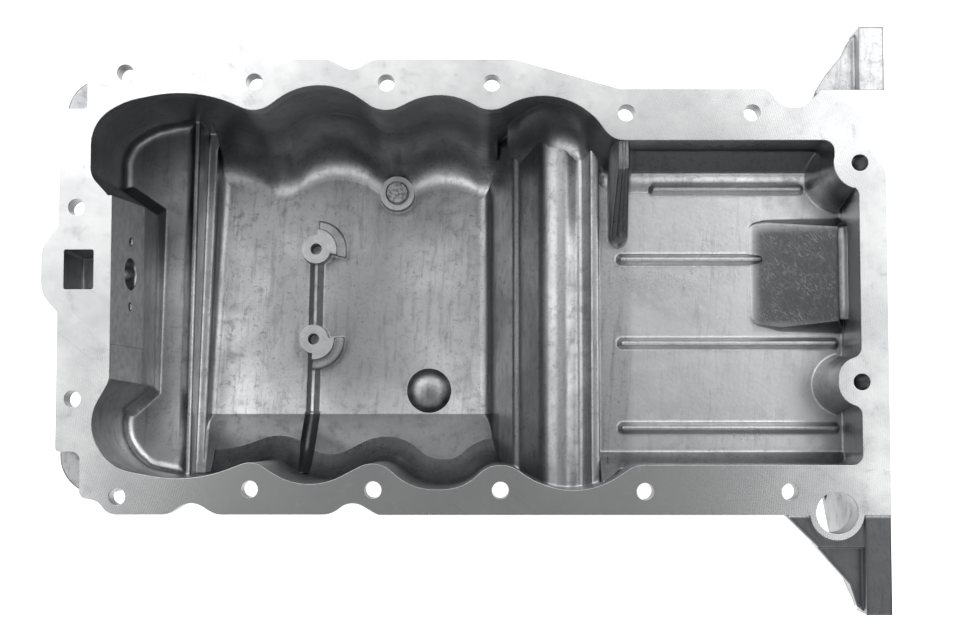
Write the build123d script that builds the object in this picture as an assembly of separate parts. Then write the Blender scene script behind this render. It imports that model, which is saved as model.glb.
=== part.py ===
from build123d import *
from math import atan2, cos, degrees, hypot, pi, radians, sin, tan
import os

# Engine oil pan: cast aluminium sump with its drain plug and sealing washer.
# Millimetres. X runs along the engine toward the bellhousing, Y across it, Z up.
# The origin lies on the machined sealing face, midway between the two middle rail bolt holes.

os.makedirs("parts", exist_ok=True)

# sealing rail
rail_thickness = 14.0
rail_hole_radius = 4.5
rail_holes = [
    (-200.3, 115.2), (-130.5, 110.2), (-59.3, 109.6), (-2.2, 109.5), (70.3, 93.2), (138.1, 93.2),
    (195.7, 66.0), (195.1, -51.9), (156.1, -110.3), (79.2, -110.1), (2.2, -109.5), (-65.6, -109.3),
    (-131.3, -108.9), (-201.8, -112.8), (-226.2, -61.0), (-225.6, 42.0),
]
flange_face = 209.6
front_edge = -235.0
# corners of the rail outline as x, y, corner radius
rail_outline = [
    (front_edge, 95.7, 1.6), (-220.8, 95.7, 1.7), (-220.8, 114.9, 2.0), (-211.3, 117.0, 5.3),
    (-205.9, 123.9, 10.5), (-175.7, 123.9, 17.2), (-160.0, 111.9, 11.0), (-145.9, 132.6, 13.6),
    (-135.3, 132.0, 4.7), (-125.3, 122.4, 9.6), (-90.5, 122.4, 4.0), (-77.0, 115.4, 9.0),
    (-67.6, 122.4, 15.5), (9.7, 122.4, 2.7), (66.9, 106.2, 3.3), (146.8, 106.2, 3.7),
    (154.4, 96.1, 10.8), (166.0, 96.1, 7.9), (175.3, 105.6, 1.0), (flange_face, 105.6, 0.6),
    (flange_face, -122.6, 0.6), (-63.1, -122.6, 7.4), (-77.1, -114.2, 10.9), (-87.9, -122.4, 13.0),
    (-149.3, -122.4, 12.1), (-162.4, -114.3, 11.1), (-174.7, -122.4, 8.9), (-206.2, -122.4, 8.6),
    (-212.0, -115.2, 8.0), (-221.9, -113.2, 4.0), (-221.9, -89.0, 4.6), (front_edge, -89.0, 2.2),
    (front_edge, -14.5, 2.5), (-244.0, -4.6, 16.5), (-244.0, 20.9, 16.5), (front_edge, 32.2, 3.2),
]

# crankcase cavity
wall = 4.5
sump_depth = 140.0
shelf_depth = 88.0
gallery_depth = 50.0
floor_thickness = 5.0
cavity_outline = [
    (-218.4, 59.1, 11.4), (-218.4, 88.0, 22.3), (-201.0, 99.6, 42.0), (-160.9, 107.6, 75.0),
    (-129.3, 92.3, 15.6), (-96.2, 117.2, 37.2), (-60.7, 92.1, 16.4), (-29.3, 108.1, 36.9),
    (-3.2, 92.7, 16.0), (30.2, 109.7, 38.4), (54.1, 90.3, 23.5), (62.7, 78.4, 12.9),
    (182.2, 78.4, 6.0), (182.2, 56.8, 11.5), (195.1, 52.0, 5.6), (195.1, -37.4, 5.6),
    (183.0, -42.0, 11.0), (182.4, -61.0, 12.0), (195.1, -65.8, 5.6), (195.1, -96.1, 5.6),
    (74.2, -96.1, 15.2), (48.5, -113.0, 42.5), (20.4, -105.5, 48.5), (0.9, -90.8, 16.6),
    (-17.4, -108.9, 27.3), (-45.7, -109.4, 32.3), (-63.4, -92.1, 15.1), (-101.4, -111.8, 35.8),
    (-130.0, -93.4, 12.5), (-162.9, -106.0, 76.0), (-205.9, -97.7, 24.3), (-219.6, -74.3, 24.3),
    (-206.7, -51.3, 12.0), (-206.7, 46.3, 13.9),
]
sump_fillet = 8.0
sump_far_fillet = 26.0
shelf_fillet = 6.0
sump_left = -166.0
sump_right = -3.5
sump_wall_lean = 5.5
weir_x = 55.5
weir_width = 4.0
weir_height = 6.5
lip_height = 4.0
lip_right = -171.5
gallery_left = 58.0
# the gallery's side slopes as y of the foot, y behind the wall, rise
gallery_slopes = [(63.0, 82.0, 17.0), (-89.6, -100.0, 16.0)]
# the sump's rear slope
margin_y = -67.0
margin_run = 45.0
margin_rise = 23.0

# ribs on the gallery floor as x start, y, x end
rib_rows = [(86.0, 58.4, 175.0), (67.5, 18.6, 152.0), (67.8, -28.7, 193.5), (68.0, -76.2, 193.5)]
rib_width = 7.6
rib_height = 5.0
rib_crest = 1.8
rib_corner_share = 0.28
rib_nose = 14.0
hump_left = 142.0
hump_rise = 17.0
# conical feet of the columns round two rail holes as x, y, radius at the rail, radius at the floor
column_feet = [(195.7, 66.0, 14.0, 21.5), (195.1, -51.9, 12.0, 17.0)]
finger_x = 69.0
finger_start = 81.0
finger_end = 26.5
finger_width = 10.5

# bellhousing ring, a half circle below the rail
ring_centre_y = -17.5
ring_half_width = 157.85
ring_band = 22.0
ring_thickness = 13.5
foot_depth = sump_depth + floor_thickness + 10.0
ring_bolt_radius = 6.5
ring_bolt_angles = (40.0, 80.0)
web_thickness = 5.5
ear_depth = 26.0
ear_drop = 1.2

# lug round the rear corner hole
lug_x = 181.0
lug_y = -121.4
lug_radius = 14.5
lug_hole_radius = 11.2
lug_length = 22.0

# oil pick-up pad on the front wall
pad_centre_y = 8.5
pad_top_x = -206.7
pad_foot_x = -198.3
pad_depth = 48.0
pad_width = 80.0
pad_step = 0.6
pickup_radius = 9.0
pickup_depth = 28.0
pickup_screw_radius = 2.5
pickup_screw_reach = 18.0
pickup_screw_depth = 14.0
passage_x = -224.0
passage_length = 16.0
passage_width = 21.5
passage_depth = 44.0

# windage tray bosses on the sump floor
tray_bosses = [(-109.2, 33.4), (-110.4, -21.7)]
tray_boss_radius = 8.8
tray_boss_height = 12.0
tray_lobe_radius = 12.4
tray_wing_radius = 18.0
tray_wing_drop = 5.0
tray_wing_sweep = 100.0
tray_screw_radius = 3.4
tray_screw_depth = 13.0

# drain
drain_x = -59.8
drain_y = 68.0
drain_boss_radius = 10.5
drain_boss_height = 10.0
thread_radius = 7.0
thread_clearance = 0.05
washer_radius = 11.0
washer_thickness = 1.5
head_flange_radius = 10.5
head_flange_thickness = 2.0
head_across_flats = 17.0
head_height = 5.5
plug_reach = 3.5


def signed_area(corners):
    """Twice the area of a polygon, positive where its corners run anticlockwise."""
    return sum(a[0] * b[1] - b[0] * a[1] for a, b in zip(corners, corners[1:] + corners[:1]))


def rounded_face(corners, plane=Plane.XY):
    """Face bounded by straight runs and corner arcs; each corner is x, y, radius."""
    if signed_area(corners) < 0:
        corners = corners[::-1]
    arcs = []
    for i, (x, y, radius) in enumerate(corners):
        here = Vector(x, y)
        back = (Vector(*corners[i - 1][:2]) - here).normalized()
        ahead = (Vector(*corners[(i + 1) % len(corners)][:2]) - here).normalized()
        half = radians(back.get_angle(ahead)) / 2
        run = radius / tan(half)
        middle = here + (back + ahead).normalized() * (radius / sin(half) - radius)
        arcs.append((here + back * run, middle, here + ahead * run))
    edges = []
    for i, arc in enumerate(arcs):
        edges.append(Edge.make_line(arcs[i - 1][2], arc[0]))
        edges.append(Edge.make_three_point_arc(*arc))
    return plane * Face(Wire(edges))


def moved_out(corners, distance):
    """The same outline with every run moved outward and the corner radii changed to match."""
    side = -1 if signed_area(corners) > 0 else 1
    moved = []
    for i, (x, y, radius) in enumerate(corners):
        before, after = corners[i - 1], corners[(i + 1) % len(corners)]
        a = atan2(y - before[1], x - before[0])
        b = atan2(after[1] - y, after[0] - x)
        turn = (b - a + pi) % (2 * pi) - pi
        reach = distance / cos(turn / 2)
        middle = (a + turn / 2) + side * pi / 2
        grown = radius - side * distance * (1 if turn > 0 else -1)
        moved.append((x + reach * cos(middle), y + reach * sin(middle), max(grown, 0.6)))
    return moved


def upright(corners, y_low, y_high):
    """Solid with the given x, z outline, running from one Y to the other."""
    side = rounded_face(corners, Plane.XZ)
    return extrude(side.moved(Location((0, y_high, 0))), amount=y_high - y_low, dir=(0, -1, 0))


def post(x, y, radius, top, bottom):
    """Upright cylinder between two heights."""
    return Pos(x, y, (top + bottom) / 2) * Cylinder(radius, top - bottom)


def plate(points, top, bottom):
    """Flat plate with straight sides between two heights."""
    face = Face(Wire.make_polygon([(x, y) for x, y in points]))
    return extrude(face.moved(Location((0, 0, bottom))), amount=top - bottom)


def side_plate(points, y_low, y_high):
    """Flat plate standing along X, drawn as x, z, between two values of Y."""
    face = Plane.XZ * Face(Wire.make_polygon(points))
    return extrude(face.moved(Location((0, y_high, 0))), amount=y_high - y_low, dir=(0, -1, 0))


def cross_plate(points, x_low, x_high):
    """Flat plate standing along Y, drawn as y, z, between two values of X."""
    face = Plane.YZ * Face(Wire.make_polygon(points))
    return extrude(face.moved(Location((x_low, 0, 0))), amount=x_high - x_low, dir=(1, 0, 0))


def floor_edges(solid, height):
    """Edges around the flat floor of a pocket at the given height."""
    floors = [f for f in solid.faces() if abs(f.center().Z - height) < 0.01 and abs(f.normal_at().Z) > 0.999]
    return [edge for face in floors for edge in face.edges()]


def floor_rib(x0, y0, x1, y1, width, height, foot):
    """Low straight rib with cut corners, whose sides and ends lean in as it rises from the floor."""
    half_length = hypot(x1 - x0, y1 - y0) / 2
    half_width = width / 2
    cut = width * rib_corner_share
    turn = degrees(atan2(y1 - y0, x1 - x0))
    lean = degrees(atan2(half_width - rib_crest / 2, height + 1.0))
    quarter = [(half_length, half_width - cut), (half_length - cut, half_width)]
    corners = quarter + [(-x, y) for x, y in quarter[::-1]]
    corners += [(-x, -y) for x, y in quarter] + [(x, -y) for x, y in quarter[::-1]]
    footprint = Face(Wire.make_polygon(corners))
    place = Pos((x0 + x1) / 2, (y0 + y1) / 2, foot - 1.0) * Rot(0, 0, turn)
    return place * extrude(footprint, amount=height + 1.0, taper=lean)


# cavity, built from its pockets and the ramp between them
across = (-160.0, 160.0)
above = 10.0
far_side = 50.0
column = extrude(rounded_face(cavity_outline), amount=-sump_depth - floor_thickness)
sump = column & side_plate(
    [
        (sump_left - sump_wall_lean, above), (sump_left, -sump_depth), (sump_right, -sump_depth),
        (sump_right + 40.5, above),
    ], *across
)
far_foot = [edge for edge in floor_edges(sump, -sump_depth) if edge.center().Y > far_side]
sump = fillet(far_foot, sump_far_fillet)
end_foot = [edge for edge in floor_edges(sump, -sump_depth) if edge.geom_type == GeomType.LINE]
end_foot = [edge for edge in end_foot if abs(edge.center().Y) < far_side]
sump = fillet(end_foot, sump_fillet)
gallery = column & side_plate(
    [(gallery_left, above), (gallery_left, -gallery_depth), (230, -gallery_depth), (230, above)], *across
)
for foot_y, back_y, rise in gallery_slopes:
    slope = [(foot_y, -gallery_depth), (back_y, -gallery_depth), (back_y, -gallery_depth + rise)]
    gallery -= cross_plate(slope, gallery_left - 2, flange_face)
shelf = column & side_plate(
    [(-260, above), (-260, -shelf_depth), (sump_left - 8, -shelf_depth), (sump_left - 8, above)], *across
)
shelf = fillet(floor_edges(shelf, -shelf_depth), shelf_fillet)
weir_top = -gallery_depth + weir_height
lip_top = -shelf_depth + lip_height
ramp_foot = -sump_depth + 15.0
ramp_profile = [
    (lip_right - 13.5, above, 1), (lip_right - 13.5, lip_top + 4, 1), (lip_right - 7.5, lip_top, 2),
    (lip_right, lip_top, 2), (lip_right, ramp_foot, 1), (sump_right, ramp_foot, 1),
    (10.5, -89, 4), (14.5, -86, 4), (27, -gallery_depth - 1.0, 14), (40, -gallery_depth + 0.5, 8),
    (48.5, -gallery_depth - 3.0, 4), (weir_x - weir_width / 2, weir_top, 1.5),
    (weir_x + weir_width / 2, weir_top, 1.5), (62, -gallery_depth + 2, 1), (62, above, 1),
]
ramp = column & upright(ramp_profile, *across)
cavity = sump + gallery + shelf + ramp

# front block that carries the pick-up pad
block_levels = [
    (0.0, pad_top_x - pad_step, 0.0), (-pad_depth, pad_foot_x - pad_step, 1.5),
    (-shelf_depth + 6, pad_foot_x + 2.0, 2.0),
    (-shelf_depth - 1, pad_foot_x + 8.0, 7.0),
]


def block_section(z, face_x, flare):
    """Plan of the front block: a flat face between two slanted cheeks."""
    points = [
        (-240, 66), (-218.4 + flare, 59.3 + flare), (face_x, 46.3 + flare), (face_x, -50.0 - flare),
        (-217.0 + flare, -63.0 - flare), (-240, -70),
    ]
    return Face(Wire.make_polygon([(x, y, z) for x, y in points]))


block_faces = [block_section(*level) for level in block_levels]
block = loft(block_faces[:2], ruled=True)
for lower in (1, 2):
    block += loft(block_faces[lower:lower + 2], ruled=True)
block += side_plate(
    [(-240, 0), (pad_top_x, 0), (pad_foot_x, -pad_depth), (-240, -pad_depth)],
    pad_centre_y - pad_width / 2, pad_centre_y + pad_width / 2
)
cavity -= block
# sloped rear margin of the sump floor
margin_back = margin_y - margin_run
margin = [(margin_y, -sump_depth), (margin_back, -sump_depth), (margin_back, -sump_depth + margin_rise)]
cavity -= cross_plate(margin, sump_left - 8, sump_right + 8)

# outer shell: walls of even thickness around the cavity
shell_column = extrude(rounded_face(moved_out(cavity_outline, wall)), amount=-sump_depth - floor_thickness)
under = -sump_depth - floor_thickness
under_profile = [
    (-270, above, 1), (-270, -shelf_depth - 6.5, 1), (sump_left - 10, -shelf_depth - 6.5, 6),
    (sump_left - sump_wall_lean, under, 10), (sump_right + sump_wall_lean, under, 10), (18, -94, 6),
    (34, -gallery_depth - 8.0, 8), (270, -gallery_depth - floor_thickness, 1), (270, above, 1),
]
shell = shell_column & upright(under_profile, *across)

rail = extrude(rounded_face(rail_outline), amount=-rail_thickness)
casting = shell + rail

# front corners of the lower casting and the housing of the oil passage
for y, radius in ((95.0, 20.3), (-91.0, 21.3)):
    casting += post(-214.8, y, radius, -rail_thickness - 2, -38)
housing = [(-219, 33), (-233, 31), (-240, 24), (-240, -7), (-233, -14), (-219, -16), (-200, -16), (-200, 33)]
casting += plate(housing, -2, -passage_depth - 6)

# bellhousing ring with its web, ears and braces
ring_rise = foot_depth - ring_half_width
ring_radius = ring_half_width + ring_rise ** 2 / (2 * ring_half_width)
ring_plane = Plane(origin=(flange_face, ring_centre_y, 0), x_dir=(0, 1, 0), z_dir=(1, 0, 0))
lower_half = Pos(0, -200 - ear_drop) * Rectangle(400, 400)
disc = Pos(0, ring_radius - foot_depth) * Circle(ring_radius) & lower_half
hollow = Pos(0, ring_radius - foot_depth) * Circle(ring_radius - ring_band)
casting += extrude(ring_plane * (disc - hollow), amount=-ring_thickness)
web = disc & (Pos(0, -100) * Rectangle(270, 200))
casting += extrude(ring_plane.offset(web_thickness - ring_thickness) * web, amount=-web_thickness)
ear_left = flange_face - ring_thickness
for low, high in ((ring_centre_y + ring_half_width - ring_band - 14, ring_centre_y + ring_half_width - 0.2),
                  (ring_centre_y - ring_half_width + 0.2, ring_centre_y - ring_half_width + ring_band + 32)):
    ear = plate([(ear_left, low), (flange_face, low), (flange_face, high), (ear_left, high)], -ear_drop, -ear_depth)
    casting += ear
for y in (-80.0, -17.5, 45.0):
    casting += side_plate([(70, -gallery_depth - 1), (201, -gallery_depth - 1), (201, under + 6)], y - 2.5, y + 2.5)

# gussets between the rail and the ears
top_gusset = [(172, 100), (174.8, 107.8), (180.3, 116.5), (189.1, 127.4), (192.4, 134.5), (197, 139.6), (200, 100)]
casting += plate(top_gusset, -4.5, -11)
casting += plate([(187.5, 103), (187.5, 119), (189.5, 122), (191, 122), (191, 103)], -ear_drop, -11)
low_gusset = [(152, -118), (154.8, -123.5), (171.5, -139.9), (198, -139.9), (198, -118)]
casting += plate(low_gusset, -3.0, -11)
deep_gusset = [(170, -138), (189.2, -159.9), (192.8, -171.4), (197, -174.8), (198, -138)]
casting += plate(deep_gusset, -9.5, -18)

# lug round the rear corner hole
casting += post(lug_x, lug_y, lug_radius, 0, -lug_length)

# skid ribs under the sump
for y in (-80.0, -38.0, 4.0, 46.0, 88.0):
    x0, x1 = sump_left + 14, sump_right - 12
    casting += plate([(x0, y - 2.2), (x1, y - 2.2), (x1, y + 2.2), (x0, y + 2.2)], under + 3, -foot_depth)

casting -= cavity

# stiffening ribs and bosses inside
for start, y, end in rib_rows:
    rib = floor_rib(start, y, end, y, rib_width, rib_height, -gallery_depth)
    if end < hump_left + rib_nose:
        point = [(start - 1, y - rib_width), (end - rib_nose, y - rib_width), (end, y), (end - rib_nose, y + rib_width)]
        rib = rib & plate(point + [(start - 1, y + rib_width)], 0, -gallery_depth - 2)
    casting += rib
hump_outline = [
    (hump_left, 39.0, 6), (152.0, 41.5, 9), (197.0, 42.5, 1), (197.0, -23.5, 1), (160.0, -22.5, 9), (143.0, -18.0, 7),
]
hump = extrude(rounded_face(hump_outline).moved(Location((0, 0, -gallery_depth - 1))), amount=22, taper=22)
hump = hump & side_plate([(140, -60), (141, -gallery_depth), (197, -gallery_depth + hump_rise), (197, -60)], -60, 60)
casting += hump
finger_half = finger_width / 2
finger_tip = finger_half - 0.2
finger_outline = [
    (finger_x - finger_half, finger_start, 1), (finger_x - finger_half, finger_end, finger_tip),
    (finger_x + finger_half, finger_end, finger_tip), (finger_x + finger_half, finger_start, 1),
]
finger_foot = -gallery_depth - 1.0
finger = extrude(rounded_face(finger_outline).moved(Location((0, 0, finger_foot))), amount=gallery_depth - 2, taper=3)
finger_side = [
    (finger_start, 0), (finger_start - 17, -4), (finger_end + 4, -gallery_depth + 13),
    (finger_end - 4, -gallery_depth + 2), (finger_end - 4, -gallery_depth - 1), (finger_start, -gallery_depth - 1),
]
for x, y, top_radius, foot_radius in column_feet:
    column_foot = Pos(x, y, -gallery_depth / 2) * Cone(foot_radius, top_radius, gallery_depth)
    casting += column_foot & Pos(x - 30, y, -gallery_depth / 2) * Box(54, 60, gallery_depth + 1)
casting += finger & Pos(finger_x, 0, 0) * Rot(0, 0, 90) * side_plate(finger_side, -12, 12)

casting += floor_rib(tray_bosses[0][0], tray_bosses[0][1], tray_bosses[1][0], tray_bosses[1][1], 9.5, 7.0, -sump_depth)
casting += floor_rib(tray_bosses[1][0], tray_bosses[1][1], -112.5, -92.0, 9.0, 6.0, -sump_depth)
boss_top = -sump_depth + tray_boss_height
for (x, y), start in zip(tray_bosses, (-15, -95)):
    casting += post(x, y, tray_boss_radius, boss_top, -sump_depth - 1)
    rays = [radians(start + share * tray_wing_sweep / 3) for share in range(4)]
    sector = plate([(0, 0)] + [(30 * cos(ray), 30 * sin(ray)) for ray in rays], 0, -sump_depth - 2)
    lobe = post(0, 0, tray_lobe_radius, boss_top, -sump_depth - 1)
    wing = post(0, 0, tray_wing_radius, boss_top - tray_wing_drop, -sump_depth - 1)
    casting += Pos(x, y, 0) * ((lobe + wing) & sector)
casting += post(drain_x, drain_y, drain_boss_radius, -sump_depth + drain_boss_height, under)

# holes
for x, y in rail_holes:
    casting -= post(x, y, rail_hole_radius, 1, -rail_thickness - 24)
casting -= post(lug_x, lug_y, lug_hole_radius, 1, -40)
passage = Pos(passage_x, pad_centre_y, 0) * RectangleRounded(passage_length, passage_width, 1.2)
casting -= extrude(passage, amount=-passage_depth)
pad_lean = degrees(atan2(pad_foot_x - pad_top_x, pad_depth))
pad_x = pad_top_x + (pad_foot_x - pad_top_x) * pickup_depth / pad_depth
pad_out = (cos(radians(pad_lean)), 0, sin(radians(pad_lean)))
pad_plane = Plane(origin=(pad_x, pad_centre_y, -pickup_depth), x_dir=(0, 1, 0), z_dir=pad_out)
casting -= extrude(pad_plane * Circle(pickup_radius), amount=-(pad_x - passage_x))
for side in (-1, 1):
    screw = Pos(side * pickup_screw_reach, 0) * Circle(pickup_screw_radius)
    casting -= extrude(pad_plane * screw, amount=-pickup_screw_depth)
for x, y in tray_bosses:
    casting -= post(x, y, tray_screw_radius, boss_top + 1, boss_top - tray_screw_depth)
drain_bore = thread_radius + thread_clearance
casting -= post(drain_x, drain_y, drain_bore, 0, under - 1)
for angle in ring_bolt_angles:
    for side in (-1, 1):
        y = side * (ring_radius - ring_band / 2) * sin(radians(angle))
        z = ring_radius - foot_depth - (ring_radius - ring_band / 2) * cos(radians(angle))
        casting -= extrude(ring_plane * (Pos(y, z) * Circle(ring_bolt_radius)), amount=-ring_thickness - 8)

export_step(casting, "parts/pan_casting.step")

# sealing washer and drain plug, put in from below
washer_top = under
washer_foot = washer_top - washer_thickness
washer = post(drain_x, drain_y, washer_radius, washer_top, washer_foot)
washer -= post(drain_x, drain_y, drain_bore, washer_top + 1, washer_foot - 1)
export_step(washer, "parts/drain_plug_washer.step")

plug_top = -sump_depth + drain_boss_height + plug_reach
plug = post(drain_x, drain_y, thread_radius, plug_top, washer_foot - head_flange_thickness / 2)
plug = chamfer(plug.edges().sort_by(Axis.Z)[-1], 0.9)
plug += post(drain_x, drain_y, head_flange_radius, washer_foot, washer_foot - head_flange_thickness)
hexagon = RegularPolygon(head_across_flats / 2, 6, major_radius=False)
head_foot = washer_foot - head_flange_thickness - head_height
plug += extrude(Pos(drain_x, drain_y, head_foot) * hexagon, amount=head_height + head_flange_thickness / 2)
export_step(plug, "parts/drain_plug.step")
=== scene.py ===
"""Looks of a die-cast aluminium engine oil pan with milled faces, a steel drain plug and its washer.

Metres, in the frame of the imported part: +Z up out of the open pan, +X toward the bellhousing, the milled
sealing face at Z = 0. Named sizes are millimetres. In the names below, far is toward +Y, rear or near
toward -Y, and front toward -X.
"""

import math

import bmesh
import bpy
import numpy as np
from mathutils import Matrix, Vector


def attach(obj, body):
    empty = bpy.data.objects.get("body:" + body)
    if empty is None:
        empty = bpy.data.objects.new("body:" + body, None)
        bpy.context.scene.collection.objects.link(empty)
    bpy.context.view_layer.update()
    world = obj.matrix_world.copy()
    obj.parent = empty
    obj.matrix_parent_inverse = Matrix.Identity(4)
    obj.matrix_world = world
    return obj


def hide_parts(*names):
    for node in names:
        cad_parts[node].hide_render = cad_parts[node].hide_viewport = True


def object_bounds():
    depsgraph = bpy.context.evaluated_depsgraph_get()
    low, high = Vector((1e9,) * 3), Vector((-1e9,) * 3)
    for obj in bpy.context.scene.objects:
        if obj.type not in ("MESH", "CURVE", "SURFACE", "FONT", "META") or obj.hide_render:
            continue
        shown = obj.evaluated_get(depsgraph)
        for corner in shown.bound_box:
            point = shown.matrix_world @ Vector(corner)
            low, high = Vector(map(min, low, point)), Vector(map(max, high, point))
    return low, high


MM = 0.001
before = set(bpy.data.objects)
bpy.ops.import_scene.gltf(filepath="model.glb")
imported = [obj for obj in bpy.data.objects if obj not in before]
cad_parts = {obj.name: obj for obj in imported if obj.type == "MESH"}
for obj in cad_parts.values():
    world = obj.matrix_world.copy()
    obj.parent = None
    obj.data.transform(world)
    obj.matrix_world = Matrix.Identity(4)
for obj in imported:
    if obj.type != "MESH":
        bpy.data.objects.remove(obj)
cad_low, cad_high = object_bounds()

# camera: almost straight above the pan, a little toward its -Y side
CAMERA_PLACE = (-6.0, -81.2, 922.8)
CAMERA_TILT = (3.871, 0.165, 0.0)
CAMERA_LENS = 64.84

# levels and places of the casting
SEALING_Z = 0.0
FLANGE_X = 209.6
SUMP_Z = -140.0
GALLERY_Z = -50.0
TRAY_BOSS_Z = -128.0
DRAIN_BOSS_Z = -130.0
PAD_NORMAL = (0.985, 0.0, 0.172)
# rear slope of the sump floor: where it starts, how far it runs, how much it rises, and up to how many
# runs the added pieces follow it into the wall
SLOPE_Y = -67.0
SLOPE_RUN = 45.0
SLOPE_RISE = 23.0
SLOPE_RUNS = 1.2
# rear wall of the sump in plan, from +X to -X, as x, y, corner radius
REAR_WALL = [
    (20.4, -105.5, 0.0), (0.9, -90.8, 16.6), (-17.4, -108.9, 27.3), (-45.7, -109.4, 32.3),
    (-63.4, -92.1, 15.1), (-101.4, -111.8, 35.8), (-130.0, -93.4, 12.5), (-162.9, -106.0, 76.0),
    (-205.9, -97.7, 0.0),
]
# its far wall, from -X to +X
FAR_WALL = [
    (-201.0, 99.6, 0.0), (-160.9, 107.6, 75.0), (-129.3, 92.3, 15.6), (-96.2, 117.2, 37.2),
    (-60.7, 92.1, 16.4), (-29.3, 108.1, 36.9), (-3.2, 92.7, 16.0), (30.2, 109.7, 38.4),
    (54.1, 90.3, 23.5), (62.7, 78.4, 12.9), (90.0, 78.4, 0.0),
]
# spacing of the points along both walls
WALL_STEP = 2.0
# height of the ramp from the sump up to the gallery
RAMP_X = [6.0, 10.5, 14.5, 20.0, 24.0, 27.0, 31.0, 36.0, 42.0, 48.0, 52.0, 72.0]
RAMP_Z = [-104.0, -91.0, -86.0, -71.5, -61.5, -56.0, -52.0, -50.5, -50.8, -52.8, -50.0, -50.0]
# edges sharper than this many degrees stay crisp
SMOOTH_BELOW = 28.0
# edge rounding that the casting's skin and its cut faces show
CAST_ROUND = 2.2
MILLED_ROUND = 0.35
# side of the studio's floor in metres, far wider than the part so that it fills a low view
FLOOR_SIZE = 80.0
# soft lights: name, place, the point it faces, width and height, all in metres, and watts
LIGHTS = [
    ("far_softbox", (0.0, 1.12, 1.0), (0.0, 0.9, 0.0), (2.8, 1.7), 20.5),
    ("left_softbox", (-1.06, 0.35, 0.95), (-0.9, 0.3, 0.0), (1.40, 1.5), 8.5),
    ("right_softbox", (1.06, 0.4, 0.95), (0.9, 0.4, 0.0), (1.40, 1.4), 9.0),
    ("near_softbox", (0.0, -0.95, 0.95), (0.0, 0.0, -0.1), (2.2, 0.5), 8.0),
]

# places where the casting's skin differs, some stained and some with painted shade: low and high corner of
# a box in millimetres, blur, the way that the coloured surface faces, share, colour
UP, TO_REAR, TO_FRONT = (0, 0, 1), (0, -1, 0), (-1, 0, 0)
STAIN_AND_PAINTED_SHADE_PLACES = [
    # bracket and ear below the rear corner, as cast
    ((120.0, -180.0, -60.0), (212.0, -124.5, 1.0), 1.0, UP, 0.85, "#4c4d4f"),
    # far half of the front shelf, painted shade
    ((-215.0, 40.0, -90.0), (-174.0, 92.0, -60.0), 45.0, UP, 0.75, "#4c4d4f"),
    # rear slope of the sump floor, painted shade
    ((-174.0, -125.0, -139.7), (2.0, -67.4, -100.0), 0.9, UP, 0.85, "#505153"),
    # half of the sump floor toward +X
    ((-90.0, -62.0, -141.0), (-12.0, 60.0, -139.0), 22.0, UP, 0.30, "#5c5d5f"),
    # far wall of the sump, painted shade
    ((-180.0, 90.0, -138.0), (60.0, 125.0, -16.0), 9.0, TO_REAR, 0.45, "#3c3d3f"),
    # far slope of the gallery, painted shade
    ((78.0, 69.0, -48.0), (178.0, 84.0, -30.0), 3.0, TO_REAR, 0.7, "#3c3d3f"),
    # finger
    ((62.0, 30.0, -44.0), (76.0, 84.0, -1.0), 4.0, UP, 0.6, "#48494b"),
    # gallery floor, paler
    ((80.0, -84.0, -51.0), (186.0, 54.0, -49.6), 9.0, UP, 0.45, "#d6d7d8"),
    # sides of the hump
    ((146.0, -21.0, -48.5), (193.0, 40.0, -30.0), 3.0, UP, 0.55, "#6c6d6f"),
    # end wall behind the hump
    ((193.5, -30.0, -44.0), (197.0, 50.0, -3.0), 1.5, TO_FRONT, 0.7, "#d6d7d8"),
    # corner between the weir and the far wall, painted shade
    ((52.0, 68.0, -44.0), (66.0, 96.0, -3.0), 3.0, TO_REAR, 0.75, "#3c3d3f"),
]


def linear(hex_colour):
    """sRGB hex colour as linear red, green, blue and alpha."""
    parts = [int(hex_colour[i:i + 2], 16) / 255 for i in (1, 3, 5)]
    return (*[c / 12.92 if c <= 0.04045 else ((c + 0.055) / 1.055) ** 2.4 for c in parts], 1.0)


def add(tree, kind, inputs=(), out=None, **settings):
    """Adds one node with its settings. Each input takes a number, a hex colour or another node's output.

    Inputs and the output handed back go by Blender's identifiers. With none named, the output is the
    first one.
    """
    node = tree.nodes.new(kind)
    for name, value in settings.items():
        setattr(node, name, value)
    sockets = {socket.identifier: socket for socket in node.inputs}
    for name, value in dict(inputs).items():
        if isinstance(value, bpy.types.NodeSocket):
            tree.links.new(value, sockets[name])
        else:
            sockets[name].default_value = linear(value) if isinstance(value, str) else value
    outputs = {socket.identifier: socket for socket in node.outputs}
    return outputs[out] if out else next(iter(outputs.values()), None)


def new_material(name):
    """Empty node material, its tree and its object coordinates."""
    material = bpy.data.materials.new(name)
    material.use_nodes = True
    tree = material.node_tree
    tree.nodes.clear()
    return material, tree, add(tree, "ShaderNodeTexCoord", out="Object")


def marks(tree, place, size, low, high, detail=4.0, rough=0.6, swirl=0.0, drawn=1.0, turn=0.0):
    """Patchy marks from noise of a size in millimetres: 0 where the noise is low, 1 where it is high.

    Low may be the greater of the two. Marks may be drawn out to a multiple of their size, along Y turned
    by an angle.
    """
    laid = add(tree, "ShaderNodeMapping", {
        "Vector": place, "Rotation": (0, 0, turn), "Scale": (1, drawn, 1),
    }, vector_type="TEXTURE")
    cloud = add(tree, "ShaderNodeTexNoise", {
        "Vector": laid, "Scale": 1 / (size * MM), "Detail": detail, "Roughness": rough,
        "Distortion": swirl,
    })
    return add(tree, "ShaderNodeMapRange", {"Value": cloud, "From Min": low, "From Max": high},
               interpolation_type="SMOOTHSTEP")


def laid_over(tree, tone, where, share, colour):
    """The tone with a share of another colour over it where the marks are."""
    cover = add(tree, "ShaderNodeMath", {"Value": where, "Value_001": share}, operation="MULTIPLY")
    return add(tree, "ShaderNodeMix", {"Factor_Float": cover, "A_Color": tone, "B_Color": colour},
               out="Result_Color", data_type="RGBA")


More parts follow.
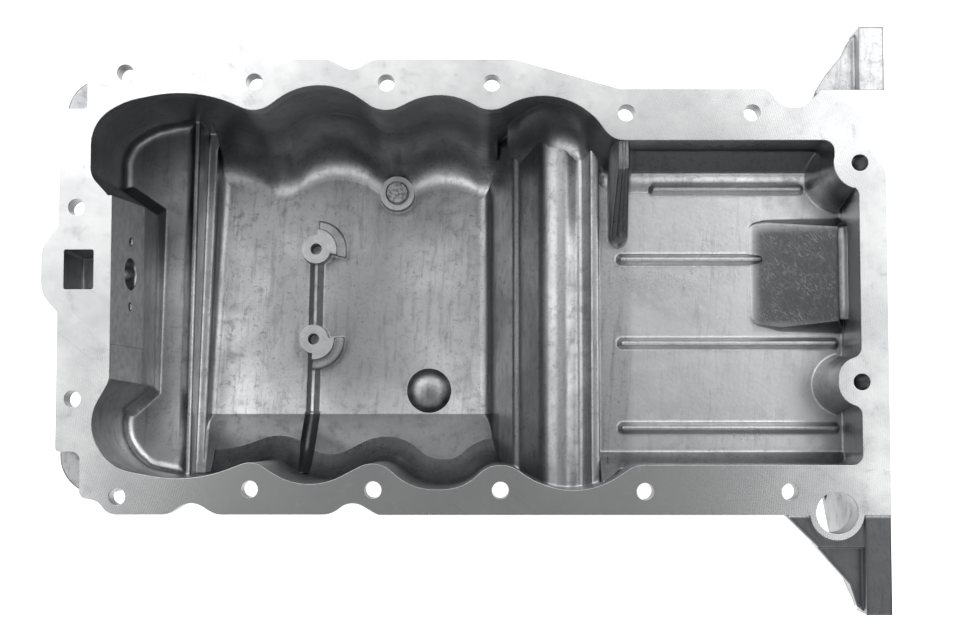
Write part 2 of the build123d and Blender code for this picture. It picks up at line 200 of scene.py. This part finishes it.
def patch(tree, place, low, high, blur):
    """1 inside a box in millimetres, falling to 0 over the blur outside it."""
    middle = [(a + b) / 2 * MM for a, b in zip(low, high)]
    half = [(b - a) / 2 * MM for a, b in zip(low, high)]
    from_middle = add(tree, "ShaderNodeVectorMath", {"Vector": place, "Vector_001": middle},
                      operation="SUBTRACT")
    reach = add(tree, "ShaderNodeVectorMath", {"Vector": from_middle}, operation="ABSOLUTE")
    outside = add(tree, "ShaderNodeVectorMath", {"Vector": reach, "Vector_001": half},
                  operation="SUBTRACT")
    outside = add(tree, "ShaderNodeVectorMath", {"Vector": outside, "Vector_001": (0, 0, 0)},
                  operation="MAXIMUM")
    gap = add(tree, "ShaderNodeVectorMath", {"Vector": outside}, out="Value", operation="LENGTH")
    return add(tree, "ShaderNodeMapRange", {
        "Value": gap, "From Min": 0.0, "From Max": blur * MM, "To Min": 1.0, "To Max": 0.0,
    }, interpolation_type="SMOOTHSTEP")


def weighed(tree, parts, start=0.0):
    """A starting value plus sockets, each times its weight, from a list of socket and weight."""
    total = start
    for value, weight in parts:
        total = add(tree, "ShaderNodeMath", {"Value": value, "Value_001": weight, "Value_002": total},
                    operation="MULTIPLY_ADD")
    return total


def bare_metal(tree, tone, shine, height, strength, depth, rounding):
    """Bare metal from its colour, roughness and surface height, with its edges rounded.

    The depth of the relief and the rounding are millimetres.
    """
    edge = add(tree, "ShaderNodeBevel", {"Radius": rounding * MM}, samples=8)
    bump = add(tree, "ShaderNodeBump", {
        "Height": height, "Normal": edge, "Strength": strength, "Distance": depth * MM,
    })
    shader = add(tree, "ShaderNodeBsdfPrincipled", {
        "Base Color": tone, "Roughness": shine, "Normal": bump, "Metallic": 1.0,
    })
    add(tree, "ShaderNodeOutputMaterial", {"Surface": shader})


def cast_aluminium(name, stain_and_painted_shade_places):
    """Die-cast aluminium alloy: satin grey skin with a fine peel, dark specks, flow marks, stains and
    painted shade.
    """
    material, tree, place = new_material(name)
    stain = marks(tree, place, 58.0, 0.35, 0.68, detail=6.0, rough=0.62, swirl=0.6)
    cloud = marks(tree, place, 6.6, 0.50, 0.30, detail=5.0, rough=0.7, swirl=0.4)
    specks = marks(tree, place, 1.6, 0.42, 0.30, detail=3.0, rough=0.7)
    flow = marks(tree, place, 3.2, 0.50, 0.34, rough=0.72, drawn=9.0, turn=-0.06)
    tone = laid_over(tree, "#a0a1a3", stain, 1.0, "#bbbcbd")
    tone = laid_over(tree, tone, cloud, 0.42, "#6f7072")
    tone = laid_over(tree, tone, specks, 0.55, "#505153")
    tone = laid_over(tree, tone, flow, 0.38, "#707173")
    # painted shade: steep walls are darkened, floors keep the paler tone
    facing = add(tree, "ShaderNodeNewGeometry", out="Normal")
    upward = add(tree, "ShaderNodeSeparateXYZ", {"Vector": facing}, out="Z")
    steep = add(tree, "ShaderNodeMapRange", {
        "Value": upward, "From Min": 0.35, "From Max": 0.8, "To Min": 1.0, "To Max": 0.0,
    })
    tone = laid_over(tree, tone, steep, 0.25, "#56575a")
    # listed places: stains, and painted shade where the list marks it
    for low, high, blur, faces, share, colour in stain_and_painted_shade_places:
        turned = add(tree, "ShaderNodeVectorMath", {"Vector": facing, "Vector_001": faces},
                     out="Value", operation="DOT_PRODUCT")
        seen = add(tree, "ShaderNodeMapRange", {"Value": turned, "From Min": 0.05, "From Max": 0.3})
        inside = patch(tree, place, low, high, blur)
        stain_and_painted_shade = add(tree, "ShaderNodeMath", {"Value": seen, "Value_001": inside}, operation="MULTIPLY")
        tone = laid_over(tree, tone, stain_and_painted_shade, share, colour)
    # the hump's top is scoured in swirls
    scoured = patch(tree, place, (150.0, -15.0, -47.0), (189.0, 32.0, -28.0), 7.0)
    swirls = marks(tree, place, 1.9, 0.48, 0.66, detail=6.0, rough=0.8, swirl=2.0, drawn=3.2, turn=0.7)
    dull = marks(tree, place, 9.0, 0.40, 0.62, rough=0.65)
    scour = laid_over(tree, "#46474a", swirls, 0.75, "#8b8c8e")
    scour = laid_over(tree, scour, dull, 0.7, "#434446")
    tone = laid_over(tree, tone, scoured, 0.88, scour)
    shine = weighed(tree, [(stain, -0.10), (cloud, 0.10)], start=0.37)
    peel = marks(tree, place, 2.4, 0.2, 0.8)
    swell = marks(tree, place, 26.0, 0.2, 0.8, detail=2.0, rough=0.5)
    height = weighed(tree, [(peel, 0.11), (swell, 0.5), (flow, -0.06)])
    bare_metal(tree, tone, shine, height, strength=0.35, depth=0.6, rounding=CAST_ROUND)
    return material


def milled_aluminium():
    """Face-milled aluminium: bright, with fine cutter arcs, cloudy stains and light scratches."""
    material, tree, place = new_material("milled_aluminium")
    # the arcs' middle lies beyond the front end
    cutter = add(tree, "ShaderNodeMapping", {"Vector": place, "Location": (0.35, 0.06, 0.0)})
    # arcs 1.2 mm apart: the real feed is about a tenth of that, too fine to show, so they are coarser
    arcs = add(tree, "ShaderNodeTexWave", {
        "Vector": cutter, "Scale": 260.0, "Distortion": 1.5, "Detail": 3.0, "Detail Scale": 2.0,
    }, out="Fac", wave_type="RINGS", rings_direction="Z")
    scratches = marks(tree, place, 1.4, 0.62, 0.78, detail=2.0, drawn=33.0, turn=0.9)
    cloud = marks(tree, place, 42.0, 0.3, 0.7, detail=5.0)
    blotch = marks(tree, place, 10.5, 0.45, 0.25, detail=5.0, rough=0.68, swirl=0.4)
    tone = laid_over(tree, "#b4b5b6", cloud, 1.0, "#cacbcb")
    tone = laid_over(tree, tone, blotch, 0.45, "#96979a")
    tone = laid_over(tree, tone, scratches, 0.3, "#9a9b9d")
    shine = weighed(tree, [(cloud, -0.05), (blotch, 0.07)], start=0.25)
    height = weighed(tree, [(arcs, 0.25), (scratches, 0.3)])
    bare_metal(tree, tone, shine, height, strength=0.06, depth=0.2, rounding=MILLED_ROUND)
    return material


def spot_faced_aluminium():
    """Spot-faced boss tops and pick-up pad: a cutter's even, duller face with a faint cloud."""
    material, tree, place = new_material("spot_faced_aluminium")
    cloud = marks(tree, place, 4.2, 0.3, 0.7)
    tone = laid_over(tree, "#a6a7a9", cloud, 1.0, "#bbbcbd")
    shine = weighed(tree, [(cloud, -0.08)], start=0.42)
    bare_metal(tree, tone, shine, cloud, strength=0.1, depth=0.15, rounding=MILLED_ROUND)
    return material


def mottled_metal(name, size, low, high, detail, rough, tones, roughness):
    """Plain metal that two tones mottle, with marks of a size in millimetres."""
    material, tree, place = new_material(name)
    mottle = marks(tree, place, size, low, high, detail=detail, rough=rough)
    tone = laid_over(tree, tones[0], mottle, 1.0, tones[1])
    shader = add(tree, "ShaderNodeBsdfPrincipled", {
        "Base Color": tone, "Metallic": 1.0, "Roughness": roughness,
    })
    add(tree, "ShaderNodeOutputMaterial", {"Surface": shader})
    return material


def read(items, name, width=1, kind=np.float64):
    """One property of each of a mesh's items, as an array with an entry or a row for each."""
    values = np.empty(len(items) * width, kind)
    items.foreach_get(name, values)
    return values.reshape(-1, width) if width > 1 else values


def smooth_normals(mesh):
    """Shading normals of a mesh.

    A corner's normal is the mean of the normals of the faces round it that lie within SMOOTH_BELOW
    degrees of its own face. Each is weighted by the whole area of the plane it lies in, so that flat
    areas stay flat. Faces share a plane where their normals and distances from the origin round to the
    same values.
    """
    normal_steps, distance_step = 400, 0.05
    normal = read(mesh.polygons, "normal", 3)
    centre = read(mesh.polygons, "center", 3)
    area = read(mesh.polygons, "area")
    distance = np.einsum("ij,ij->i", normal, centre)
    plane = np.column_stack([normal * normal_steps, distance / (distance_step * MM)])
    _, group = np.unique(np.round(plane).astype(np.int64), axis=0, return_inverse=True)
    weight = np.bincount(group.ravel(), weights=area)[group.ravel()]
    corner = read(mesh.loops, "vertex_index", kind=np.int32)
    sides = read(mesh.polygons, "loop_total", kind=np.int32)
    owner = np.repeat(np.arange(len(sides)), sides)
    order = np.argsort(corner, kind="stable")
    starts = np.searchsorted(corner[order], np.arange(len(mesh.vertices) + 1))
    shading = np.empty((len(corner), 3))
    limit = math.cos(math.radians(SMOOTH_BELOW))
    for first, last in zip(starts[:-1], starts[1:]):
        here = order[first:last]
        around = normal[owner[here]]
        near = (around @ around.T > limit) * weight[owner[here]]
        shading[here] = near @ around
    shading /= np.linalg.norm(shading, axis=1, keepdims=True)
    mesh.polygons.foreach_set("use_smooth", np.ones(len(sides), bool))
    mesh.normals_split_custom_set(shading.tolist())


def turned_front_wall(points):
    """Points in millimetres with the sump's front wall turned in plan.

    Each point near the wall moves toward -X by a distance that grows evenly toward -Y. It moves the
    whole way at the sump floor, half of it at the lip above, and less away from the wall, down to
    nothing.
    """
    wall_x, share = [-204.0, -190.0, -154.0, -134.0], [0.0, 1.0, 1.0, 0.0]
    lip_z, lip_depth, face_z, face_depth = -76.0, 8.0, -90.0, 50.0
    ends_y, shifts = [-67.0, 70.0], [11.0, 3.5]
    x, y, z = points.T
    lip = np.clip((lip_z - z) / lip_depth, 0.0, 1.0)
    face = np.clip((face_z - z) / face_depth, 0.0, 1.0)
    shift = np.interp(x, wall_x, share) * (0.5 * lip + 0.5 * face) * np.interp(y, ends_y, shifts)
    return np.column_stack([x - shift, y, z])


def merged_copy(node, name):
    """Copy of a CAD node's mesh with its doubled corners merged, smooth except at its sharp edges."""
    merge_within, least_edge = 0.005, 0.002
    shape = bmesh.new()
    shape.from_mesh(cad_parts[node].data)
    bmesh.ops.remove_doubles(shape, verts=shape.verts, dist=merge_within * MM)
    bmesh.ops.dissolve_degenerate(shape, edges=shape.edges, dist=least_edge * MM)
    mesh = bpy.data.meshes.new(name)
    shape.to_mesh(mesh)
    shape.free()
    points = turned_front_wall(read(mesh.vertices, "co", 3) / MM) * MM
    mesh.vertices.foreach_set("co", points.ravel())
    mesh.update()
    smooth_normals(mesh)
    piece = bpy.data.objects.new(name, mesh)
    bpy.context.scene.collection.objects.link(piece)
    return piece


def dress_casting(skin):
    """The casting: cast skin all over, milled metal on the faces that a cutter has passed over."""
    facing, slack = 0.999, 0.05
    pad_facing, pad_below_x, pad_above_z = 0.9995, -190.0, -49.0
    casting = merged_copy("pan_casting", "oil_pan_casting")
    mesh = casting.data
    mesh.materials.clear()
    for material in (skin, milled_aluminium(), spot_faced_aluminium()):
        mesh.materials.append(material)
    x, _, z = (read(mesh.polygons, "center", 3) / MM).T
    normal = read(mesh.polygons, "normal", 3)
    upward = normal[:, 2] > facing
    milled = upward & (np.abs(z - SEALING_Z) < slack)
    milled |= (normal[:, 0] > facing) & (np.abs(x - FLANGE_X) < slack)
    spot_faced = (normal @ np.array(PAD_NORMAL) > pad_facing) & (x < pad_below_x) & (z > pad_above_z)
    for level in (TRAY_BOSS_Z, DRAIN_BOSS_Z):
        spot_faced |= upward & (np.abs(z - level) < slack)
    mesh.polygons.foreach_set("material_index", milled.astype(np.int32) + 2 * spot_faced)
    mesh.update()
    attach(casting, "root")
    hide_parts("pan_casting")


def closed_piece(name, x, y, z, material):
    """Closed piece from rings of corners in millimetres, joined in order, with a flat face at each end.

    x, y and z are spread to one shape: a row for each ring, a column for each of its corners.
    """
    rings = np.stack(np.broadcast_arrays(x, y, z), axis=-1)
    count, sides, _ = rings.shape
    ring, corner = np.meshgrid(np.arange(count - 1), np.arange(sides), indexing="ij")
    here = ring * sides + corner
    beside = ring * sides + (corner + 1) % sides
    walls = np.stack([here, beside, beside + sides, here + sides], axis=-1).reshape(-1, 4)
    ends = [list(range(sides))[::-1], list(range((count - 1) * sides, count * sides))]
    mesh = bpy.data.meshes.new(name)
    mesh.from_pydata(rings.reshape(-1, 3) * MM, [], walls.tolist() + ends)
    shape = bmesh.new()
    shape.from_mesh(mesh)
    bmesh.ops.triangulate(shape, faces=shape.faces)
    bmesh.ops.recalc_face_normals(shape, faces=shape.faces)
    shape.to_mesh(mesh)
    shape.free()
    smooth_normals(mesh)
    mesh.materials.append(material)
    piece = bpy.data.objects.new(name, mesh)
    bpy.context.scene.collection.objects.link(piece)
    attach(piece, "root")


def slope_height(y):
    """Height of the sump floor and its rear slope: level to SLOPE_Y, then rising evenly toward -Y."""
    return SUMP_Z + SLOPE_RISE * np.clip((SLOPE_Y - y) / SLOPE_RUN, 0.0, SLOPE_RUNS)


def rounded_path(corners):
    """Points WALL_STEP apart along straight runs joined by tangent arcs, from corners as x, y, radius.

    Each arc turns from one run to the next about a centre that lies a radius from both.
    """
    arc_points = 13
    points = [np.array(corners[0][:2])]
    for before, (x, y, radius), after in zip(corners, corners[1:], corners[2:]):
        here = np.array((x, y))
        back = np.array(before[:2]) - here
        ahead = np.array(after[:2]) - here
        back, ahead = back / np.linalg.norm(back), ahead / np.linalg.norm(ahead)
        half = math.acos(float(back @ ahead)) / 2
        centre = here + (back + ahead) / np.linalg.norm(back + ahead) * radius / math.sin(half)
        first = here + back * radius / math.tan(half) - centre
        last = here + ahead * radius / math.tan(half) - centre
        share = np.linspace(0.0, 1.0, arc_points)[:, None]
        chord = first * (1 - share) + last * share
        points.extend(centre + chord / np.linalg.norm(chord, axis=1, keepdims=True) * radius)
    points.append(np.array(corners[-1][:2]))
    points = np.array(points)
    along = np.concatenate([[0.0], np.cumsum(np.linalg.norm(np.diff(points, axis=0), axis=1))])
    even = np.arange(0.0, along[-1], WALL_STEP)
    return np.column_stack([np.interp(even, along, points[:, axis]) for axis in (0, 1)])


def rear_wall_fillet(material):
    """Fillet where the sump's rear wall runs down into its slope.

    A quarter circle carried along the wall: at an angle t it stands radius * (1 - sin t) off the wall
    and radius * (1 - cos t) above the slope at that place. Its rim dips just under the slope.
    """
    radius, sunk, dip, lip = 17.0, 0.8, 0.2, 4.0
    first_x, last_x = -171.0, 4.0
    wall = rounded_path(REAR_WALL)
    wall = wall[(wall[:, 0] > first_x) & (wall[:, 0] < last_x)]
    run = np.gradient(wall, axis=0)
    inward = np.column_stack([run[:, 1], -run[:, 0]]) / np.linalg.norm(run, axis=1, keepdims=True)
    turn = np.linspace(0.0, math.pi / 2, 13)
    off = np.concatenate([[radius + lip], radius * (1 - np.sin(turn)), [-sunk, -sunk, radius + lip]])
    rise = np.concatenate([[-sunk], radius * (1 - np.cos(turn)) - dip, [radius, -sunk, -sunk]])
    x = wall[:, :1] + inward[:, :1] * off
    y = wall[:, 1:] + inward[:, 1:] * off
    closed_piece("rear_wall_fillet", x, y, slope_height(y) + rise, material)


def wall_foot(name, material, wall, ground, reach, climb):
    """Foot of a far wall, which runs out smoothly onto the ground in front of it.

    A quarter of an ellipse carried along the wall: at an angle t it stands reach * (1 - sin t) toward
    -Y and climb * (1 - cos t) above the ground there. Its rim dips just under the ground.
    """
    sunk, dip, lip = 1.0, 0.25, 5.0
    turn = np.linspace(0.0, math.pi / 2, 19)
    off = np.concatenate([[reach + lip], reach * (1 - np.sin(turn)), [-sunk, -sunk, reach + lip]])
    rise = np.concatenate([[-sunk], climb * (1 - np.cos(turn)) - dip, [climb, -sunk, -sunk]])
    closed_piece(name, wall[:, :1], wall[:, 1:] - off, ground + rise, material)


def far_wall_feet(material):
    """Feet of the far wall: over the sump's floor, and over the ramp and the weir."""
    sump_x, ramp_x = (-169.0, 2.0), (6.0, 72.0)
    wall = rounded_path(FAR_WALL)
    sump, ramp = [wall[(wall[:, 0] > low) & (wall[:, 0] < high)] for low, high in (sump_x, ramp_x)]
    over_ramp = np.interp(ramp[:, :1], RAMP_X, RAMP_Z)
    wall_foot("sump_wall_foot", material, sump, SUMP_Z, reach=34.0, climb=60.0)
    wall_foot("ramp_wall_foot", material, ramp, over_ramp, reach=25.0, climb=36.0)


def slope_rib(material):
    """The low rib carried on over the rear slope and up its fillet to the wall.

    Its section is the rib's own: sides that lean in from the foot to a narrow flat crest. Its middle
    drifts evenly toward -X on the way.
    """
    half_width, half_crest, height, sunk = 4.7, 1.0, 6.0, 3.0
    start_x, start_y, drift = -111.7, -65.5, 0.1
    fillet, wall_y, into_wall = 17.0, -103.5, 1.0
    y = np.linspace(start_y, wall_y + into_wall, 46)
    middle = start_x - (start_y - y) * drift
    # stops just short of the fillet's upright end
    from_wall = np.clip(fillet - (y - wall_y), 0.0, fillet - 0.1)
    foot = slope_height(y) + fillet - np.sqrt(fillet ** 2 - from_wall ** 2)
    across = np.array([-half_width, -half_crest, half_crest, half_width, half_width, -half_width])
    above = np.array([0.0, height, height, 0.0, -sunk, -sunk])
    closed_piece("slope_rib", middle[:, None] + across, y[:, None], foot[:, None] + above, material)


def floor_dome(material):
    """Shallow round dome on the sump floor.

    Its height is a bell curve, height * exp(-(steepness * r) ** 2), of the distance r from its middle in
    radii, less a little, so that its rim is under the floor.
    """
    place, radius, height, sunk, steepness = (-40.3, -52.8), 12.0, 0.7, 0.08, 1.3
    reach, innermost = 1.9, 0.02
    share = np.linspace(reach, innermost, 30)[:, None]
    angle = np.linspace(0.0, 2 * math.pi, 48, endpoint=False)
    x = place[0] + radius * share * np.cos(angle)
    y = place[1] + radius * share * np.sin(angle)
    z = SUMP_Z - sunk + height * np.exp(-(steepness * share) ** 2)
    closed_piece("floor_dome", x, y, z, material)


def gallery_fillet(material):
    """Fillet at the foot of the gallery's far slope.

    An arc tangent to the floor and to the slope, carried along X: at an angle t it stands
    radius * (1 - cos t) above the floor.
    """
    foot_y, slope_rise, slope_run, radius = 63.0, 17.0, 19.0, 17.0
    sunk, behind, first_x, last_x = 2.0, 5.0, 75.5, 176.0
    slope_turn = math.atan2(slope_rise, slope_run)
    start = foot_y - radius * math.tan(slope_turn / 2)
    turn = np.linspace(0.0, slope_turn, 13)
    y = np.concatenate([start + radius * np.sin(turn), [foot_y + behind, start]])
    z = GALLERY_Z + np.concatenate([radius * (1 - np.cos(turn)), [-sunk, -sunk]])
    x = np.linspace(first_x, last_x, 12)[:, None]
    closed_piece("gallery_fillet", x, y, z, material)


def gallery_corner(material):
    """The gallery's near slope carried on to the weir, over the corner between them.

    Its top is the plane of that slope, which leaves the floor at slope_y and rises evenly toward -Y. The
    last ring dips under the slope.
    """
    slope_y, steepness, proud, dip = -89.83, 1.577, 0.12, 0.4
    first_x, last_x, lip, into_wall, sunk = 58.4, 71.0, 0.5, 1.2, 2.0
    wall_x, wall_y = [56.1, 63.8, 68.3, 73.7], [-106.4, -101.9, -98.1, -96.5]
    x = np.linspace(first_x, last_x, 28)[:, None]
    wall = np.interp(x, wall_x, wall_y) - into_wall
    y = wall + (slope_y + lip - wall) * np.linspace(0.0, 1.0, 24)
    top = GALLERY_Z + proud + steepness * (slope_y - y) - dip * (x == last_x)
    under = np.full((len(x), 2), GALLERY_Z - sunk)
    y = np.hstack([y, y[:, -1:], y[:, :1]])
    closed_piece("gallery_corner", x, y, np.hstack([top, under]), material)


def hump_root(material):
    """Fillet between the hump's top and the end wall.

    A quarter circle carried along Y. Near both ends of its run it drops by end_drop * (s - shoulder),
    where s is the share of the way from the middle to an end.
    """
    edge_x, wall_x, top_z, sunk = 189.0, 195.8, -35.6, 1.0
    first_y, last_y, end_drop, shoulder = -16.0, 36.0, 9.0, 0.8
    radius = wall_x - edge_x
    turn = np.linspace(0.0, math.pi / 2, 11)
    x = np.concatenate([edge_x + radius * np.sin(turn), [wall_x, edge_x]])
    z = np.concatenate([top_z + radius * (1 - np.cos(turn)), [GALLERY_Z - sunk, GALLERY_Z - sunk]])
    y = np.linspace(first_y, last_y, 14)[:, None]
    from_middle = np.abs(y - y.mean()) / (last_y - y.mean())
    drop = end_drop * (np.clip(from_middle, shoulder, 1.0) - shoulder)
    z = np.maximum(z - drop * (z > GALLERY_Z), GALLERY_Z - sunk)
    closed_piece("hump_root", x, y, z, material)


def gallery_finger(material):
    """Soft pod that runs down from the far wall onto the gallery floor.

    Across it the outline is half an ellipse raised to a power, wide and round at the foot. Along it the
    top falls in straight runs and the nose closes as a circle.
    """
    middle_x, half_width, nose_radius, sunk = 69.2, 6.0, 6.0, 1.0
    top_y = [25.4, 27.5, 31.0, 64.0, 72.0, 82.5]
    top_z = [-47.0, -42.5, -35.5, -3.2, -2.2, -2.0]
    crowding, side_power, crown_power, least_narrowing = 1.4, 1.15, 0.8, 0.97
    y = top_y[0] + (top_y[-1] - top_y[0]) * np.linspace(0.0, 1.0, 44)[:, None] ** crowding
    narrowing = np.clip(1 - (y - top_y[0]) / nose_radius, 0.0, least_narrowing)
    width = half_width * np.sqrt(1 - narrowing ** 2)
    turn = np.linspace(0.0, math.pi, 41)
    across = np.sign(np.cos(turn)) * np.abs(np.cos(turn)) ** side_power
    up = np.sin(turn) ** crown_power
    z = GALLERY_Z - sunk + (np.interp(y, top_y, top_z) - GALLERY_Z + sunk) * up
    closed_piece("gallery_finger", middle_x + width * across, y, z, material)


def dress_node(node, material):
    """Gives a CAD node one material."""
    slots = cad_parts[node].data.materials
    slots.clear()
    slots.append(material)


def light(name, place, aim, size, power):
    """Rectangular soft light at a place in metres, turned toward a point."""
    data = bpy.data.lights.new(name, "AREA")
    data.shape = "RECTANGLE"
    data.size, data.size_y = size
    data.energy = power
    lamp = bpy.data.objects.new(name, data)
    bpy.context.scene.collection.objects.link(lamp)
    lamp.location = place
    lamp.rotation_euler = (Vector(aim) - Vector(place)).to_track_quat("-Z", "Y").to_euler()


def studio():
    """Pale floor, soft lights from the far side and both ends, and the camera overhead."""
    bpy.ops.mesh.primitive_plane_add(size=FLOOR_SIZE, location=(0, 0, cad_low.z))
    floor = bpy.context.object
    floor.name = "floor"
    material, tree, _ = new_material("pale_floor")
    shader = add(tree, "ShaderNodeBsdfPrincipled", {
        "Base Color": "#eeeeee", "Roughness": 0.9,
        "Emission Color": "#ffffff", "Emission Strength": 0.66,
    })
    add(tree, "ShaderNodeOutputMaterial", {"Surface": shader})
    floor.data.materials.append(material)
    for softbox in LIGHTS:
        light(*softbox)
    world = bpy.data.worlds.new("studio")
    bpy.context.scene.world = world
    world.use_nodes = True
    background = world.node_tree.nodes["Background"]
    background.inputs["Color"].default_value = (1, 1, 1, 1)
    background.inputs["Strength"].default_value = 0.3
    bpy.context.scene.view_settings.view_transform = "Standard"
    data = bpy.data.cameras.new("camera")
    data.sensor_width = 36.0
    data.lens = CAMERA_LENS
    camera = bpy.data.objects.new("camera", data)
    bpy.context.scene.collection.objects.link(camera)
    camera.location = Vector(CAMERA_PLACE) * MM
    camera.rotation_euler = [math.radians(a) for a in CAMERA_TILT]
    bpy.context.scene.camera = camera


skin = cast_aluminium("die_cast_aluminium", STAIN_AND_PAINTED_SHADE_PLACES)
dress_casting(skin)
for make in (far_wall_feet, slope_rib, floor_dome, gallery_fillet, gallery_corner, hump_root,
             gallery_finger):
    make(skin)
# the same cast skin without the listed stains and painted shade, for the fillet that lies in shade
rear_wall_fillet(cast_aluminium("die_cast_aluminium_in_shade", []))
# turned steel of the plug: mid grey, mottled by oil
dress_node("drain_plug", mottled_metal(
    "turned_steel", 2.0, 0.35, 0.6, detail=4.0, rough=0.6, tones=("#6f7072", "#a9aaab"), roughness=0.35,
))
# soft aluminium sealing ring: pale and dull
dress_node("drain_plug_washer", mottled_metal(
    "soft_aluminium", 3.3, 0.3, 0.7, detail=3.0, rough=0.5, tones=("#b4b5b6", "#cfd0d0"), roughness=0.4,
))
studio()
